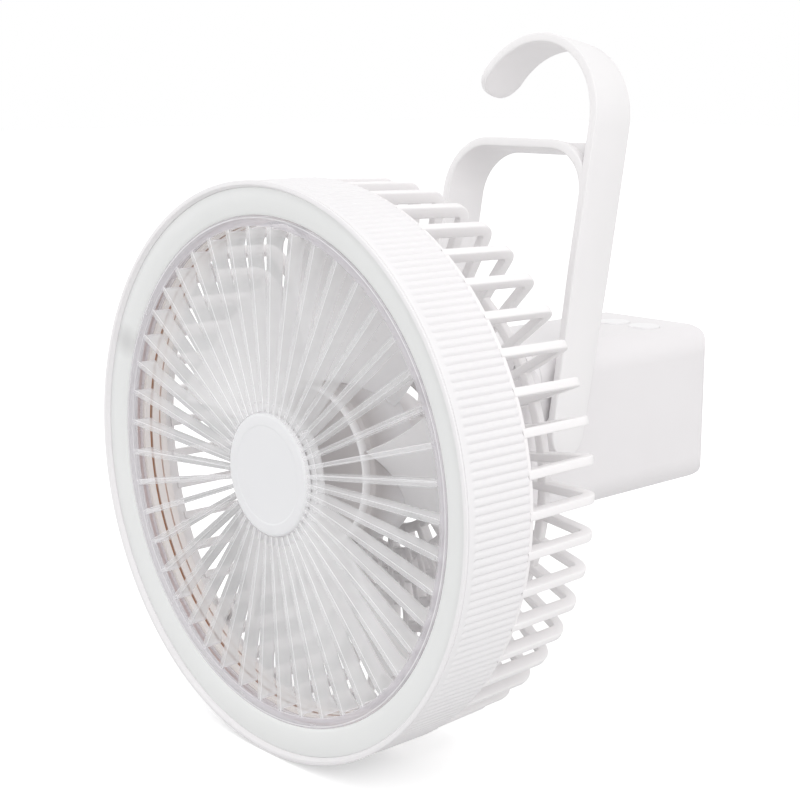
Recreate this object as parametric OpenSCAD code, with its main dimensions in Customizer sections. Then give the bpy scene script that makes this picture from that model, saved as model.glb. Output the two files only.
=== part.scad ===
// Rechargeable camping fan: a round lit fan head on a battery case, with a hinged hanging bail.
// Frame: X across the fan, Y from the fan's face back to the case, Z up.
// Origin: centre line of the fan where it meets the flat back of the battery case.

/* [Fan head] */
// Outer diameter of the knurled front ring
ring_d = 200; // [196:1:206]
// Depth of the front ring behind the light's face
ring_depth = 26; // [25:0.5:28]
// Grooves round the grip of the front ring
knurl_count = 230; // [120:2:240]
// Depth of the whole head, from the light's face to the back of the cage
head_depth = 61; // [60:0.5:64]
// Light's face: radial width of the milky ring
light_w = 9; // [8:0.5:10]
// Spokes in the clear front grille
spoke_count = 45; // [30:1:54]
// Depth of one clear spoke
spoke_depth = 6; // [4:0.5:7]
// Light chips round the light board
led_count = 36; // [18:2:48]

/* [Rear cage] */
// L-shaped fins round the cage
fin_count = 48; // [40:8:56]
// Thickness of one fin
fin_t = 3; // [2:0.1:3.2]
// Width of a fin, from its outer edge inward
fin_w = 4.3; // [3.6:0.1:4.8]
// Radius of the fin's bend from the side to the back
fin_bend = 6.5; // [5:0.5:8]
// Hoops that tie the fins together on the flat back
hoop_count = 6; // [4:1:6]
// Fins that run all the way in to the hub
arm_count = 8; // [4:4:8]

/* [Impeller] */
// Blades on the impeller
blade_count = 5; // [3:1:7]
// Radius of the blade tips
blade_r = 79; // [74:1:82]
// Chord of a blade at its tip
blade_chord = 62; // [40:1:70]
// Pitch of a blade at its tip, in degrees
blade_pitch = 22; // [16:1:28]

/* [Battery case] */
// Width of the case
case_w = 62; // [60:0.5:68]
// Height of the case
case_h = 65; // [63:0.5:70]
// Length of the case, front cover included
case_len = 104; // [98:1:120]
// Wall of the case
case_wall = 2.4; // [2:0.1:3]
// Radius of the case's four long edges
case_corner = 11; // [9:0.5:11]
// Height of the case's middle over the fan's centre line
case_rise = 1.75; // [0:0.25:3]
// Buttons in a row on the case
button_count = 3; // [1:1:3]
// Diameter of one button
button_d = 12.6; // [10:0.2:13.2]

/* [Tilt hinge] */
// Distance from the back of the cage to the tilt axis
hinge_gap = 19; // [18:0.5:22]
// Width of the head's hinge tongue
tongue_w = 14; // [10:1:16]
// Diameter of the hinge pin
hinge_pin_d = 6; // [5:0.5:8]

/* [Bail] */
// Width across the outside of the bail's two arms
bail_w = 74.2; // [74:0.2:80]
// Thickness of the strap
strap_t = 3.5; // [3:0.1:4.4]
// Width of the strap
strap_w = 19.7; // [18:0.1:22]
// Outer radius of the bail's two upper corners
bail_bend = 20.5; // [12:0.5:24]
// Height of the cross bar's top over the pivot, along the arms
bar_h = 107.3; // [102:0.5:112]
// Height of the hook's middle over the pivot, along the arms
hook_h = 113.6; // [112:0.2:120]
// Angle that the hook turns through, in degrees
hook_turn = 160; // [120:1:165]
// Lean of the bail behind upright, in degrees
bail_lean = 10.4; // [0:0.1:15]

/* [Hidden] */
$fn = 96;

gap = 0.3;
eps = 0.02;
neck = 39.2;
reach = head_depth + neck + case_len;
ring_r = ring_d / 2;
lip_r = 1.65;
groove_r = 0.55;
lens_r = ring_r - 2.3;
light_in_r = lens_r - gap - light_w;
grille_r = light_in_r - gap;
rim_in_r = grille_r - 5.4;
duct_in_r = grille_r - 2.1;
duct_wall = 1.6;
duct_face = 8;
duct_back = 17.7;
ledge_r = lens_r - 0.8;
cap_r = 21.5;
cage_front = ring_depth + gap;
flange_t = 2;
fin_out_r = ring_r - 0.6;
fin_back_r = ring_r - 1.5;
fin_turn = -0.5;
fin_chamfer = 1.5;
bar_front = head_depth - 4.2;
bend_t = head_depth - fin_bend;
hub_r = 22.5;
hub_front_t = 50;
hub_t = 4;
hub_screw_r = 16.5;
hoop_r = 75.2;
hoop_pitch = 9.2;
hoop_w = 3.7;
inner_hoop_r = hoop_r - (hoop_count - 1) * hoop_pitch;
post_r = grille_r + 4.3;
post_turn = 41.25;
axle_r = 1.5;
hub_out_r = 30;
hub_front = 20;
hub_depth = 24;
blade_steps = 8;
blade_cuts = 6;
yoke_t = hub_front_t + hub_t + gap;
hinge_t = head_depth + hinge_gap;
case_front = reach - case_len;
cover_t = 4;
end_round = 4;
case_mid_z = case_rise;
case_top = case_mid_z + case_h / 2;
case_bottom = case_mid_z - case_h / 2;
pivot_t = 112.9;
pivot_z = 3.5;
pivot_r = 4.5;
arm_in = bail_w / 2 - strap_t;
clip_x = case_w / 2 - case_wall - 0.8;
hook_out = 33.3;
tip_round = 9;
web_recess = 4;
button_pitch = 15.6;
button_y = -23;
button_rise = 0.9;
cell_r = 9.1;
cell_len = 65;
cell_pitch = 19;
cell_mid_z = case_bottom + case_wall + 20;
port_z = cell_mid_z + 25.3;

// Puts children on the fan's axis, t behind the light's face, with their +Z pointing back
module on_axis(t = 0) translate([0, t - reach, 0]) rotate([-90, 0, 0]) children();

// Repeats children evenly round the local Z axis
module around(n, start = 0) for (i = [0:n - 1]) rotate([0, 0, start + i * 360 / n]) children();

// Flat rectangle with round corners, centred
module round_rect(w, h, r) {
    square([w - 2 * r, h], center = true);
    square([w, h - 2 * r], center = true);
    for (x = [-1, 1], y = [-1, 1]) translate([x * (w / 2 - r), y * (h / 2 - r)]) circle(r = r);
}

// Flat ring section for a revolve: from radius a to radius b, from z0 to z1
module band(a, b, z0, z1) translate([a, z0]) square([b - a, z1 - z0]);

// ---- Front ring and light -------------------------------------------------------------------

module outer_ring() color("white") on_axis() difference() {
    union() {
        rotate_extrude($fn = 200) {
            translate([ring_r - lip_r, 0]) circle(r = lip_r, $fn = 32);
            band(ledge_r, ring_r - 0.9, 0, 2.4);
        }
        translate([0, 0, 1]) linear_extrude(ring_depth - 1) difference() {
            circle(r = ring_r - 0.1, $fn = 240);
            around(knurl_count) translate([ring_r, 0]) circle(r = groove_r, $fn = 16);
            circle(r = ledge_r, $fn = 200);
        }
    }
    translate([0, 0, -5]) cylinder(r = lens_r, h = 5 + duct_face + 1.8, $fn = 200);
}

module light_diffuser() color("gainsboro") on_axis() rotate_extrude($fn = 200) {
    r1 = lens_r - gap;
    polygon([[light_in_r, 1.4], [r1, 0], [r1, 1.8], [light_in_r + 2, 3], [light_in_r + 2, 6.2],
        [light_in_r, 6.2]]);
}

module led_board() color("honeydew") on_axis() rotate_extrude($fn = 160)
    band(light_in_r + 0.8, lens_r - 1.1, duct_face - 1.4, duct_face - 0.2);

module led_chips() color("khaki") on_axis() around(led_count)
    translate([(light_in_r + lens_r) / 2 - 1.4, -1.4, duct_face - 2.4]) cube([2.8, 2.8, 0.9]);

// Places of the four posts that hold the cage's screws
module at_posts() around(4, post_turn) translate([post_r, 0, 0]) children();

module air_duct() color("whitesmoke") on_axis() difference() {
    union() {
        rotate_extrude($fn = 160) difference() {
            union() {
                band(duct_in_r, duct_in_r + duct_wall, duct_face, duct_back);
                band(duct_in_r, lens_r - 0.6, duct_face, duct_face + 1.5);
            }
            band(duct_in_r - 1, duct_in_r + 0.6, 10.3, 11.3);
            band(duct_in_r - 1, duct_in_r + 0.5, 14.4, 15);
        }
        at_posts() translate([0, 0, duct_face + 1])
            cylinder(r = 2.8, h = cage_front - eps - duct_face - 1, $fn = 32);
    }
    at_posts() translate([0, 0, duct_face + 4]) cylinder(r = 1.25, h = 40, $fn = 24);
}

// ---- Clear front grille ---------------------------------------------------------------------

// Side view of one spoke: radius across, depth up
module spoke_side() polygon([[cap_r + 1, 1], [rim_in_r + 1.2, 1.7], [rim_in_r + 1.2, 9],
    [rim_in_r - 1.5, 9], [rim_in_r - 4, spoke_depth + 1.5], [cap_r + 1, spoke_depth + 0.3]]);

module front_grille() color([0.85, 0.92, 0.95, 0.5]) on_axis() {
    rotate_extrude($fn = 160) {
        band(rim_in_r, grille_r, 1.5, 3);
        band(grille_r - 1.4, grille_r, 1.5, duct_face - gap);
        band(rim_in_r, rim_in_r + 1.3, 1.5, 4.2);
        band(cap_r + gap, cap_r + 3, 0.8, spoke_depth + 0.6);
        band(0, cap_r + 3, spoke_depth - 1.2, spoke_depth + 0.2);
    }
    around(spoke_count, -0.6) rotate([90, 0, 0]) translate([0, 0, -0.6])
        linear_extrude(1.2) spoke_side();
}

module hub_cap() color("white") on_axis() rotate_extrude($fn = 96) {
    difference() {
        union() {
            band(0, cap_r - 1, 0.5, 2.8);
            band(0, cap_r, 1.5, 2.8);
            translate([cap_r - 1, 1.5]) circle(r = 1, $fn = 32);
        }
        band(0, 17, -1, 0.8);
    }
    band(0, 4, 2, spoke_depth - 1.5);
}

// ---- Rear cage ------------------------------------------------------------------------------

// Side view of the whole cage, filled in to its hub: radius across, depth up
module cage_form() {
    polygon([[hub_r - 1, cage_front + 0.6], [fin_out_r, cage_front + 0.6], [fin_back_r, bend_t],
        [hub_r - 1, bend_t]]);
    band(hub_r - 1, fin_back_r - fin_bend, cage_front + 0.6, head_depth);
    translate([fin_back_r - fin_bend, bend_t]) circle(r = fin_bend, $fn = 64);
}

// Side view of one L-shaped fin that runs in to radius r_in
module fin_side(r_in) difference() {
    cage_form();
    polygon([[0, 0], [fin_out_r - fin_w, 0], [fin_back_r - fin_w, bar_front - fin_chamfer],
        [fin_back_r - fin_w - fin_chamfer, bar_front], [0, bar_front]]);
    band(0, r_in, 0, head_depth + 1);
}

// Fins round the cage between two depths
module fins(count, r_in, t0, t1, start = fin_turn) around(count, start) rotate([90, 0, 0])
    translate([0, 0, -fin_t / 2]) linear_extrude(fin_t) intersection() {
        fin_side(r_in);
        band(0, ring_r, t0, t1);
    }

module cage_side() color("white") on_axis() difference() {
    union() {
        rotate_extrude($fn = 192) {
            band(ledge_r - 1, fin_out_r - 0.4, cage_front, cage_front + flange_t);
            band(ledge_r - 1.3, ledge_r - gap, cage_front - 6, cage_front + 1);
        }
        at_posts() translate([0, 0, cage_front]) cylinder(r = 4.2, h = flange_t - 0.2, $fn = 48);
        fins(fin_count, hoop_r, 0, bend_t - eps);
    }
    at_posts() translate([0, 0, cage_front - 1]) cylinder(r = 1.5, h = 4, $fn = 24);
}

module rear_cage() color("white") on_axis() difference() {
    union() {
        rotate_extrude($fn = 192) {
            for (i = [0:hoop_count - 1])
                translate([hoop_r - i * hoop_pitch - hoop_w / 2, bar_front + 0.2]) square([hoop_w, 3]);
            band(0, hub_r, hub_front_t, hub_front_t + hub_t);
            band(hub_r - 2, hub_r, hub_front_t, head_depth - 0.4);
        }
        fins(fin_count / 2, inner_hoop_r + hoop_pitch, bend_t, head_depth + 1, fin_turn + 360 / fin_count);
        fins(fin_count / 2, inner_hoop_r, bend_t, head_depth + 1);
        fins(arm_count, hub_r - 1, bend_t, head_depth + 1);
    }
    at_hub_screws() translate([0, 0, hub_front_t - 1]) cylinder(r = 1.7, h = hub_t + 2, $fn = 24);
}

module cage_screws() color("silver") on_axis() at_posts() {
    translate([0, 0, cage_front + flange_t + eps]) cylinder(r1 = 2.6, r2 = 2.2, h = 1.6, $fn = 32);
    translate([0, 0, duct_face + 7]) cylinder(r = 1.2, h = cage_front + 2.5 - duct_face - 7, $fn = 24);
}

// Places of the four screws through the hub
module at_hub_screws() around(4, 45) translate([hub_screw_r, 0, 0]) children();

// ---- Impeller and motor ---------------------------------------------------------------------

// How far out a radius lies, from 0 at the hub to 1 at the blade's tip
function blade_mix(r) = max(0, (r - hub_out_r) / (blade_r - hub_out_r));
function pitch_at(r) = 40 + (blade_pitch - 40) * blade_mix(r);
function chord_at(r) = 30 + (blade_chord - 30) * pow(blade_mix(r), 0.8);
function sweep_at(r) = -10 * pow(blade_mix(r), 1.5);

// Point on a blade: radius r, place s along the chord from -0.5 to 0.5, face side -1 or 1
function blade_pt(r, s, side) =
    let (c = chord_at(r),
        b = pitch_at(r),
        lift = 0.07 * c * (1 - 4 * s * s) + side * (0.35 + 0.55 * (1 - 4 * s * s)),
        u = s * c * cos(b) - lift * sin(b),
        w = s * c * sin(b) + lift * cos(b),
        a = sweep_at(r) + u / r * 180 / PI)
    [r * cos(a), r * sin(a), hub_front + hub_depth / 2 - 1 + w];

module blade() {
    m = blade_cuts + 1;
    loop = 2 * m;
    rs = [for (i = [0:blade_steps]) hub_out_r - 1 + (blade_r - hub_out_r + 1) * i / blade_steps];
    pts = [for (r = rs) each concat(
        [for (j = [0:blade_cuts]) blade_pt(r, j / blade_cuts - 0.5, 1)],
        [for (j = [0:blade_cuts]) blade_pt(r, 0.5 - j / blade_cuts, -1)])];
    sides = [for (i = [0:blade_steps - 1], j = [0:loop - 1])
        let (a = i * loop + j, b = i * loop + (j + 1) % loop)
        each [[a, b, a + loop], [b, b + loop, a + loop]]];
    root = [for (j = [0:blade_cuts - 1]) each [[j, loop - 1 - j, j + 1],
        [j + 1, loop - 1 - j, loop - 2 - j]]];
    k = blade_steps * loop;
    tip = [for (f = root) [k + f[0], k + f[2], k + f[1]]];
    polyhedron(points = pts, faces = concat(sides, root, tip));
}

module impeller() color([0.88, 0.88, 0.9]) on_axis() {
    rotate_extrude($fn = 96) {
        difference() {
            union() {
                band(0, hub_out_r, hub_front + 4, hub_front + hub_depth);
                band(0, hub_out_r - 4, hub_front, hub_front + 5);
                intersection() {
                    translate([hub_out_r - 4, hub_front + 4]) circle(r = 4, $fn = 48);
                    band(0, hub_out_r, hub_front, hub_front + 5);
                }
            }
            band(-1, hub_out_r - 2, hub_front + 2, hub_front + hub_depth + 1);
        }
    }
    around(blade_count, 3) blade();
}

module rotor_cup() color("dimgray") on_axis() rotate_extrude($fn = 96) {
    r = hub_out_r - 2 - 0.05;
    band(r - 1.2, r, hub_front + 2.05, hub_front + 22);
    band(axle_r + eps, r, hub_front + 2.05, hub_front + 3.4);
    band(axle_r + eps, 4, hub_front + 2.05, hub_front + 6);
}

module magnet_ring() color("black") on_axis() rotate_extrude($fn = 96)
    band(hub_out_r - 5.6, hub_out_r - 3.3, hub_front + 6, hub_front + 20);

module motor_shaft() color("silver") on_axis() {
    translate([0, 0, hub_front + 2.1]) cylinder(r = axle_r, h = 25, $fn = 32);
    translate([0, 0, hub_front + 27]) cylinder(r = axle_r - 0.3, h = 1, $fn = 32);
    translate([0, 0, hub_front + 27.9]) cylinder(r = axle_r, h = 1.2, $fn = 32);
}

module shaft_clip() color("gray") on_axis(hub_front + 27.15) difference() {
    cylinder(r = 2.8, h = 0.7, $fn = 32);
    translate([0, 0, -1]) cylinder(r = axle_r - 0.25, h = 3, $fn = 32);
    translate([0, -0.9, -1]) cube([4, 1.8, 3]);
}

module stator_core() color("slategray") on_axis(hub_front + 8) difference() {
    linear_extrude(10) {
        circle(r = 11, $fn = 64);
        around(12) translate([0, -1.4]) square([22, 2.8]);
        intersection() {
            around(12) translate([19, -5]) square([6, 10]);
            difference() {
                circle(r = 23.8, $fn = 96);
                circle(r = 21.6, $fn = 96);
            }
        }
    }
    translate([0, 0, -1]) cylinder(r = 6.05, h = 12, $fn = 48);
    around(12, 15) translate([23.4, 0, -1]) cylinder(r = 1.6, h = 12, $fn = 24);
}

module stator_windings() color("peru") on_axis(hub_front + 8) around(12)
    translate([12, 0, 0]) difference() {
        translate([0, -2.6, -1.6]) cube([8.6, 5.2, 13.2]);
        translate([-1, -1.5, -0.1]) cube([11, 3, 10.2]);
    }

module motor_base() color("lightgray") on_axis() difference() {
    union() {
        translate([0, 0, hub_front + 7]) cylinder(r = 6, h = 29.7 - 7, $fn = 64);
        translate([0, 0, 47]) cylinder(r = hub_r - 2, h = 2.7, $fn = 96);
    }
    translate([0, 0, hub_front + 6]) cylinder(r = 2.4, h = 26, $fn = 48);
    translate([0, 0, hub_front + 6]) cylinder(r = 4.03, h = 5.1, $fn = 48);
    translate([0, 0, hub_front + 21]) cylinder(r = 4.03, h = 20, $fn = 48);
    at_hub_screws() translate([0, 0, 46]) cylinder(r = 1.25, h = 6, $fn = 24);
}

module motor_bearings() color("silver") on_axis() for (t = [7.05, 21.05])
    translate([0, 0, hub_front + t]) difference() {
        cylinder(r = 4, h = 4, $fn = 48);
        translate([0, 0, -1]) cylinder(r = axle_r + 0.03, h = 6, $fn = 48);
    }

module motor_board() color("seagreen") on_axis(44.2) difference() {
    cylinder(r = hub_r - 1.5, h = 1.2, $fn = 64);
    translate([0, 0, -1]) cylinder(r = 6.4, h = 4, $fn = 48);
    at_hub_screws() translate([0, 0, -1]) cylinder(r = 2.6, h = 4, $fn = 24);
}

// ---- Tilt hinge -----------------------------------------------------------------------------

module tilt_yoke() color("white") on_axis() difference() {
    union() {
        translate([0, 0, yoke_t]) cylinder(r = hub_r - 2 - gap, h = 4, $fn = 96);
        translate([-tongue_w / 2, 0, yoke_t + 3.7]) rotate([90, 0, 90]) linear_extrude(tongue_w) {
            translate([-9, 0]) square([18, hinge_t - yoke_t - 3.7]);
            translate([0, hinge_t - yoke_t - 3.7]) circle(r = 9, $fn = 64);
        }
    }
    translate([0, 0, hinge_t]) rotate([0, 90, 0])
        cylinder(r = hinge_pin_d / 2 + 0.06, h = 60, center = true, $fn = 48);
    at_hub_screws() translate([0, 0, yoke_t - 4]) cylinder(r = 1.7, h = 12, $fn = 24);
}

module hub_screws() color("silver") on_axis() at_hub_screws() {
    translate([0, 0, yoke_t + 4 + eps]) cylinder(r = 2.8, h = 1.8, $fn = 32);
    translate([0, 0, 47.2]) cylinder(r = 1.2, h = yoke_t + 4.4 - 47.2, $fn = 24);
}

module tilt_pin() color("silver") on_axis(hinge_t) rotate([0, 90, 0]) {
    translate([0, 0, -tongue_w / 2 - 8.5]) cylinder(r = hinge_pin_d / 2, h = tongue_w + 15.4, $fn = 48);
    translate([0, 0, tongue_w / 2 + 6.2 + eps]) cylinder(r = hinge_pin_d / 2 + 2, h = 1.6, $fn = 48);
}

module tilt_nut() color("gray") on_axis(hinge_t) rotate([0, 90, 0])
    translate([0, 0, -tongue_w / 2 - 8.4 - eps]) difference() {
        cylinder(r = hinge_pin_d / 2 + 2.2, h = 2.2, $fn = 6);
        translate([0, 0, -1]) cylinder(r = hinge_pin_d / 2 + 0.03, h = 5, $fn = 48);
    }

module tilt_washers() color("dimgray") on_axis(hinge_t) for (s = [-1, 1]) rotate([0, s * 90, 0])
    translate([0, 0, tongue_w / 2 + 0.1]) difference() {
        cylinder(r = 8, h = 0.8, $fn = 64);
        translate([0, 0, -1]) cylinder(r = hinge_pin_d / 2 + 0.1, h = 3, $fn = 48);
    }

// ---- Battery case ---------------------------------------------------------------------------

// Outer form of the case, drawn in by d on every side
module case_form(d = 0) {
    mid_y = -case_len / 2;
    translate([0, mid_y, case_mid_z]) intersection() {
        rotate([90, 0, 0]) linear_extrude(case_len - 2 * d, center = true)
            round_rect(case_w - 2 * d, case_h - 2 * d, case_corner - d);
        linear_extrude(case_h - 2 * d, center = true)
            round_rect(case_w - 2 * d, case_len - 2 * d, end_round - d);
        rotate([90, 0, 90]) linear_extrude(case_w - 2 * d, center = true)
            round_rect(case_len - 2 * d, case_h - 2 * d, end_round - 0.2 - d);
    }
}

// Screw places in the corners of the case's front, children looking back
module at_cover_screws() for (x = [-1, 1], z = [-1, 1])
    translate([x * (case_w / 2 - 8), -case_len, case_mid_z + z * (case_h / 2 - 7.5)])
        mirror([x < 0 ? 1 : 0, 0, 0]) rotate([-90, 0, 0]) children();

module case_cover() color("white") difference() {
    union() {
        intersection() {
            case_form();
            translate([-50, -case_len - 1, -50]) cube([100, cover_t + 1 - 0.15, 100]);
        }
        for (s = [-1, 1]) on_axis() translate([s * (tongue_w / 2 + 3.6) - 2.6, 0, 0])
            rotate([90, 0, 90]) linear_extrude(5.2) {
                translate([-9, hinge_t]) square([18, case_front + 1 - hinge_t]);
                translate([0, hinge_t]) circle(r = 9, $fn = 64);
            }
    }
    on_axis(hinge_t) rotate([0, 90, 0])
        cylinder(r = hinge_pin_d / 2 + 0.03, h = 80, center = true, $fn = 48);
    at_cover_screws() translate([0, 0, -1]) cylinder(r = 1.6, h = 8, $fn = 24);
    at_cover_screws() translate([0, 0, -1]) cylinder(r = 2.9, h = 3, $fn = 32);
}

module cover_screws() color("silver") at_cover_screws() {
    translate([0, 0, 2 - eps]) mirror([0, 0, 1]) cylinder(r = 2.6, h = 1.6, $fn = 32);
    cylinder(r = 1.2, h = 14, $fn = 24);
}

module battery_case() color("white") difference() {
    union() {
        difference() {
            intersection() {
                case_form();
                translate([-50, -case_len + cover_t, -50]) cube([100, 200, 100]);
            }
            difference() {
                case_form(case_wall);
                at_cover_screws() {
                    cylinder(r = 3.6, h = 22, $fn = 32);
                    translate([0, -1.5, 0]) cube([8, 3, 22]);
                }
                board_posts();
            }
            translate([-case_w / 2 + case_wall, -case_len - 5, case_bottom + case_corner])
                cube([case_w - 2 * case_wall, 20, case_h - 2 * case_corner]);
            translate([-case_w / 2 + case_corner, -case_len - 5, case_bottom + case_wall])
                cube([case_w - 2 * case_corner, 20, case_h - 2 * case_wall]);
        }
    }
    at_cover_screws() cylinder(r = 1.25, h = 18, $fn = 24);
    at_buttons() translate([0, 0, -5]) cylinder(r = button_d / 2 + 0.1, h = 10, $fn = 64);
    on_pivot() cylinder(r = pivot_r + 0.06, h = 80, center = true, $fn = 64);
    at_port() cube([12, 9.5, 3.8], center = true);
    at_port() translate([0, 12, 0]) rotate([0, 90, 0]) cylinder(r = 1.6, h = 12, center = true, $fn = 24);
}

// Two posts under the case's top that carry the button board
module board_posts() for (x = [-22.5, 22.5])
    translate([x, button_y + 6.8, case_top - 8.2 + eps]) cylinder(r = 2, h = 8, $fn = 32);

// Middle of the charging port's opening in the left wall
module at_port() translate([-case_w / 2, -48, port_z]) children();

module main_board() color("seagreen") translate([-25.5, -76, port_z - 1.7 - 1.6]) cube([46, 50, 1.6]);

module usb_port() color("silver") at_port() difference() {
    translate([0.4, -4.5, -1.65]) cube([7.4, 9, 3.3]);
    translate([-1, -4.1, -1.25]) cube([7, 8.2, 2.5]);
}

module charge_lens() color("lightgreen") at_port() translate([0.1, 12, 0]) rotate([0, 90, 0])
    cylinder(r = 1.58, h = 4, $fn = 24);

// The cells lie along the case, two over two
module at_cells() for (x = [-1, 1], z = [-1, 1])
    translate([x * cell_pitch / 2, -10, cell_mid_z + z * cell_pitch / 2]) rotate([90, 0, 0]) children();

module battery_cells() color("steelblue") at_cells() {
    cylinder(r = cell_r, h = cell_len - 1.2, $fn = 64);
    cylinder(r = 3.2, h = cell_len, $fn = 32);
}

module cell_holders() color("dimgray") for (y = [-8, -66]) difference() {
    translate([-20, y - 11, cell_mid_z - 20 + eps]) cube([40, 8, 41.9]);
    at_cells() translate([0, 0, -5]) cylinder(r = cell_r + 0.15, h = 90, $fn = 64);
}

// ---- Buttons --------------------------------------------------------------------------------

// Places of the buttons on the case's top
module at_buttons() for (i = [0:button_count - 1])
    translate([(i - (button_count - 1) / 2) * button_pitch, button_y, case_top]) children();

module button_board() color("seagreen") translate([-25, button_y - 8, case_top - 9.8])
    cube([50, 17, 1.6]);

module tact_switches() color("black") at_buttons() {
    translate([-3, -3, -8.1]) cube([6, 6, 2.5]);
    translate([0, 0, -5.7]) cylinder(r = 1.6, h = 0.7, $fn = 24);
}

// One push button: a round cap with a retaining flange under the case's wall
module push_button(i) color("white")
    translate([(i - (button_count - 1) / 2) * button_pitch, button_y, case_top]) rotate_extrude($fn = 64) {
        band(0, button_d / 2, -3.7, button_rise - 0.6);
        band(0, button_d / 2 - 0.6, -3.7, button_rise);
        translate([button_d / 2 - 0.6, button_rise - 0.6]) circle(r = 0.6, $fn = 24);
        band(0, button_d / 2 + 0.6, -3.9, -case_wall - 0.5);
    }

module timer_button() push_button(0);

module fan_button() push_button(1);

module light_button() push_button(2);

// ---- Bail -----------------------------------------------------------------------------------

// Puts children at the bail's pivot: local Z along the pivot axis
module on_pivot() translate([0, pivot_t - reach, pivot_z]) rotate([0, 90, 0]) children();

// Front view of the bail's arch, drawn in by d: X across, Y up the arms from the pivot
module arch_form(d) {
    half = bail_w / 2;
    translate([d - half, -12 - d]) square([2 * (half - d), bar_h - bail_bend + 12 + d]);
    translate([bail_bend - half, -12 - d]) square([2 * (half - bail_bend), bar_h + 12]);
    for (s = [-1, 1]) translate([s * (half - bail_bend), bar_h - bail_bend]) circle(r = bail_bend - d);
}

// Front view of the bail: the arch, and the hook that carries on from its right arm
module bail_front() {
    difference() {
        arch_form(0);
        arch_form(strap_t);
    }
    translate([bail_w / 2 - strap_t, bar_h - bail_bend - 5])
        square([strap_t, hook_h - bar_h + bail_bend + 5]);
    translate([bail_w / 2 - hook_out, hook_h]) difference() {
        circle(r = hook_out, $fn = 128);
        circle(r = hook_out - strap_t, $fn = 128);
        rotate(hook_turn) translate([-60, 0]) square([120, 60]);
        rotate(180) translate([-60, 0]) square([120, 60]);
    }
}

// Front view of the web that fills the corner between the arch and the hook
module bail_web() difference() {
    translate([bail_w / 2 - bail_bend, bar_h - bail_bend]) square([bail_bend - 1, bail_bend - 0.6]);
    arch_form(strap_t - 1);
}

// Cuts the two corners off the hook's free end, children of bail_handle's own frame
module hook_corners() translate([bail_w / 2 - hook_out, 0, hook_h]) rotate([0, -hook_turn, 0])
    translate([hook_out - strap_t - 1, 0, 0]) rotate([90, 0, 90]) linear_extrude(strap_t + 2) difference() {
        translate([-20, -tip_round]) square([40, tip_round + 2]);
        translate([tip_round - strap_w / 2, -20]) square([strap_w - 2 * tip_round, 30]);
        for (x = [-1, 1]) translate([x * (strap_w / 2 - tip_round), 0.2 - tip_round])
            circle(r = tip_round, $fn = 48);
    }

// Side view of the bail: depth across, Y up the arms from the pivot
module bail_side() {
    low = strap_w / 2 - 1.35;
    circle(r = low, $fn = 64);
    polygon([[-low, 0], [low, 0], [strap_w / 2, 60], [strap_w / 2, 160], [-strap_w / 2, 160],
        [-strap_w / 2, 60]]);
}

module bail_handle() color("white") translate([0, pivot_t - reach, pivot_z]) {
    rotate([-bail_lean, 0, 0]) difference() {
        intersection() {
            rotate([90, 0, 0]) linear_extrude(40, center = true) bail_front();
            rotate([90, 0, 90]) linear_extrude(100, center = true) bail_side();
        }
        hook_corners();
    }
    rotate([90 - bail_lean, 0, 0]) linear_extrude(strap_w - 2 * web_recess, center = true) bail_web();
    for (s = [-1, 1]) rotate([0, s * 90, 0]) {
        translate([0, 0, case_w / 2 + gap]) cylinder(r = 8, h = arm_in + 1 - case_w / 2 - gap, $fn = 64);
        translate([0, 0, clip_x + 0.8]) cylinder(r = pivot_r, h = 6, $fn = 64);
        translate([0, 0, clip_x - 0.2]) cylinder(r = pivot_r - 1, h = 2, $fn = 64);
        translate([0, 0, clip_x - 1]) cylinder(r = pivot_r, h = 0.9, $fn = 64);
    }
}

module pivot_clips() color("gray") on_pivot() for (s = [0, 1]) mirror([0, 0, s])
    translate([0, 0, clip_x]) difference() {
        cylinder(r = pivot_r + 2, h = 0.7, $fn = 48);
        translate([0, 0, -1]) cylinder(r = pivot_r - 0.95, h = 3, $fn = 48);
        translate([-2.4, 0, -1]) cube([4.8, 8, 3]);
    }

outer_ring();
light_diffuser();
led_board();
led_chips();
air_duct();
front_grille();
hub_cap();
cage_side();
rear_cage();
cage_screws();
impeller();
rotor_cup();
magnet_ring();
motor_shaft();
stator_core();
stator_windings();
motor_base();
motor_bearings();
motor_board();
shaft_clip();
tilt_yoke();
hub_screws();
tilt_pin();
tilt_nut();
tilt_washers();
case_cover();
cover_screws();
battery_case();
battery_cells();
cell_holders();
main_board();
usb_port();
charge_lens();
button_board();
tact_switches();
fan_button();
light_button();
timer_button();
bail_handle();
pivot_clips();
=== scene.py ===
"""Looks of the camping fan: finer meshes, materials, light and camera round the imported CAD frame."""
import math

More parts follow.
